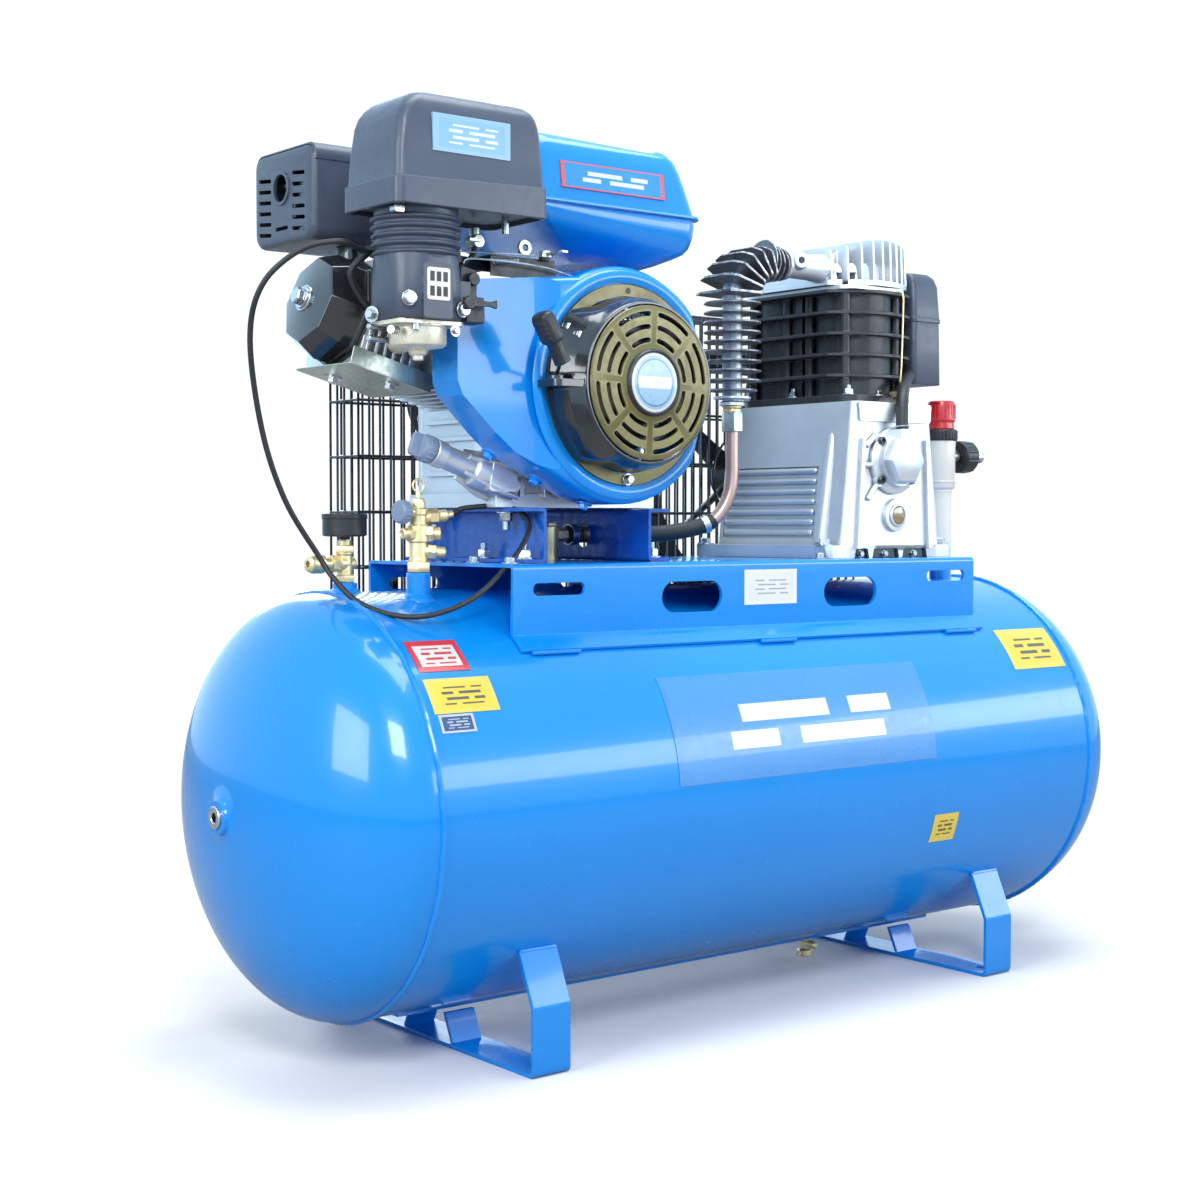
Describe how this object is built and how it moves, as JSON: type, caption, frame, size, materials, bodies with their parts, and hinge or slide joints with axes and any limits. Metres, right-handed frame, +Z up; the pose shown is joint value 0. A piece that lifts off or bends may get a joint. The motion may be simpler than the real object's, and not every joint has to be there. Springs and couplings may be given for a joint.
{
  "type": "belt-driven air compressor",
  "caption": "Petrol-driven twin-cylinder piston air compressor with a belt drive, standing on a horizontal air tank with a flat top platform and flat bar feet.",
  "frame": {"origin": "on the floor, under the middle of the tank", "axes": "+X along the tank towards the pump and air outlet, +Y towards the belt drive at the back, +Z up"},
  "size_m": [1.3068, 0.47, 1.03],
  "materials": {
    "blue_paint": "glossy azure enamel",
    "rail_paint": "satin darker blue enamel",
    "black_paint": "semi-gloss black enamel",
    "olive_paint": "satin olive zinc and paint",
    "white_paint": "silvery white lacquer",
    "dark_plastic": "fine-grained dark slate moulding",
    "black_plastic": "black moulding with a light sheen",
    "grey_plastic": "satin grey-blue moulding",
    "red_plastic": "gloss red moulding",
    "cast_alloy": "as-cast, bead blasted",
    "steel": "zinc plated or ground",
    "cast_iron": "black painted casting",
    "brass": "turned brass",
    "copper": "drawn copper, slightly dulled",
    "belt_rubber": "moulded V-belt rubber"
  },
  "bodies": {
    "frame": {"aftercooler": "cast_alloy", "air_cleaner": "dark_plastic", "belt_guard": "black_paint", "blower_housing": "blue_paint", "carburettor": "cast_alloy", "check_valve": "steel", "delivery_pipe": "copper", "drain_valve": "brass", "drive_belt": "belt_rubber", "engine_crankcase": "cast_alloy", "engine_cylinder_head": "cast_alloy", "engine_piston": "cast_alloy", "engine_rail_left": "rail_paint", "engine_rail_right": "rail_paint", "engine_side_cover": "cast_alloy", "foot_left": "blue_paint", "foot_right": "blue_paint", "fuel_tank": "blue_paint", "gauge_cross": "brass", "intake_duct": "dark_plastic", "manifold": "brass", "muffler": "steel", "muffler_shield": "black_paint", "outlet_regulator": "white_paint", "platform": "blue_paint", "pressure_gauge": "black_plastic", "pump_air_filter": "black_plastic", "pump_breather_cap": "cast_alloy", "pump_crankcase": "cast_alloy", "pump_cylinder_block": "cast_iron", "pump_head": "cast_alloy", "pump_piston_front": "cast_alloy", "pump_piston_rear": "cast_alloy", "pump_valve_plate": "steel", "recoil_cover": "black_paint", "recoil_vent_disk": "olive_paint", "rocker_cover": "black_paint", "tank_head_left": "blue_paint", "tank_head_right": "blue_paint", "tank_shell": "blue_paint"},
    "pump_crank": {"pump_crankshaft": "steel", "pump_flywheel": "cast_iron"},
    "engine_crank": {"engine_crankshaft": "steel", "engine_flywheel": "cast_iron", "engine_pulley": "cast_iron"},
    "pump_rod_front": {"pump_conrod_front": "cast_alloy"},
    "pump_rod_rear": {"pump_conrod_rear": "cast_alloy"},
    "engine_rod": {"engine_conrod": "cast_alloy"},
    "starter_handle": {"recoil_handle": "black_plastic"},
    "starter_reel": {"recoil_reel": "black_plastic"},
    "filler_cap": {"fuel_cap": "black_plastic"},
    "dipstick": {"oil_dipstick": "dark_plastic"},
    "choke": {"choke_lever": "black_plastic"},
    "throttle": {"throttle_lever": "steel"},
    "needle": {"gauge_needle": "red_plastic"},
    "pilot_adjuster": {"pilot_knob": "grey_plastic"},
    "safety_pull": {"safety_ring": "steel"},
    "regulator_adjuster": {"regulator_knob": "red_plastic"},
    "outlet_tap": {"tap_knob": "black_plastic"},
    "drain_tap": {"drain_knob": "brass"}
  },
  "joints": [
    {"name": "pump_spin", "type": "hinge", "parent": "frame", "child": "pump_crank", "pos_m": [0.25, 0, 0.657], "axis": [0, 1, 0], "continuous": true},
    {"name": "engine_spin", "type": "hinge", "parent": "frame", "child": "engine_crank", "pos_m": [-0.231, 0, 0.7455], "axis": [0, 1, 0], "continuous": true},
    {"name": "pump_rod_front_turn", "type": "hinge", "parent": "pump_crank", "child": "pump_rod_front", "pos_m": [0.25, -0.053, 0.6795], "axis": [0, 1, 0], "continuous": true},
    {"name": "pump_rod_rear_turn", "type": "hinge", "parent": "pump_crank", "child": "pump_rod_rear", "pos_m": [0.25, 0.053, 0.6345], "axis": [0, 1, 0], "continuous": true},
    {"name": "engine_rod_turn", "type": "hinge", "parent": "engine_crank", "child": "engine_rod", "pos_m": [-0.26191, -0.02, 0.75378], "axis": [0, 1, 0], "continuous": true},
    {"name": "starter_pull", "type": "slide", "parent": "frame", "child": "starter_handle", "axis": [-0.3495, -0.799, 0.4894], "range_m": [0, 0.5]},
    {"name": "reel_spin", "type": "hinge", "parent": "frame", "child": "starter_reel", "pos_m": [-0.231, -0.19, 0.7455], "axis": [0, 1, 0], "range_deg": [0, 500]},
    {"name": "fuel_cap_twist", "type": "hinge", "parent": "frame", "child": "filler_cap", "pos_m": [-0.235, -0.04, 1.0124], "axis": [0, 0, 1], "range_deg": [0, 90]},
    {"name": "dipstick_unscrew", "type": "hinge", "parent": "frame", "child": "dipstick", "pos_m": [-0.432, -0.08, 0.67], "axis": [-0.9476, -0.0177, 0.3188], "range_deg": [0, 360]},
    {"name": "choke_swing", "type": "hinge", "parent": "frame", "child": "choke", "pos_m": [-0.463, -0.1935, 0.818], "axis": [0, 1, 0], "range_deg": [0, 60]},
    {"name": "throttle_swing", "type": "hinge", "parent": "frame", "child": "throttle", "pos_m": [-0.33, -0.15, 0.884], "axis": [0, 0, 1], "range_deg": [-25, 25]},
    {"name": "gauge_sweep", "type": "hinge", "parent": "frame", "child": "needle", "pos_m": [-0.494, 0, 0.599], "axis": [0, 0, 1], "range_deg": [-270, 0]},
    {"name": "pilot_adjust", "type": "hinge", "parent": "frame", "child": "pilot_adjuster", "pos_m": [-0.4465, -0.0521, 0.604], "axis": [-0.9923, -0.124, 0], "range_deg": [0, 360]},
    {"name": "safety_ring_pull", "type": "slide", "parent": "frame", "child": "safety_pull", "axis": [0, 0, 1], "range_m": [0, 0.003]},
    {"name": "regulator_adjust", "type": "hinge", "parent": "frame", "child": "regulator_adjuster", "pos_m": [0.43, -0.05, 0.721], "axis": [0, 0, 1], "range_deg": [0, 720]},
    {"name": "outlet_tap_turn", "type": "hinge", "parent": "frame", "child": "outlet_tap", "pos_m": [0.463, -0.05, 0.684], "axis": [1, 0, 0], "range_deg": [0, 360]},
    {"name": "drain_open", "type": "hinge", "parent": "frame", "child": "drain_tap", "pos_m": [0.221, 0, 0.0143], "axis": [0, 0, 1], "range_deg": [0, 360]}
  ],
  "couplings": [
    {"joint": "engine_spin", "follows": "pump_spin", "ratio": 3.2059},
    {"joint": "pump_rod_front_turn", "follows": "pump_spin", "ratio": -1},
    {"joint": "pump_rod_rear_turn", "follows": "pump_spin", "ratio": -1},
    {"joint": "engine_rod_turn", "follows": "pump_spin", "ratio": -3.2059},
    {"joint": "reel_spin", "follows": "starter_pull", "rad_per_m": 17.241}
  ]
}
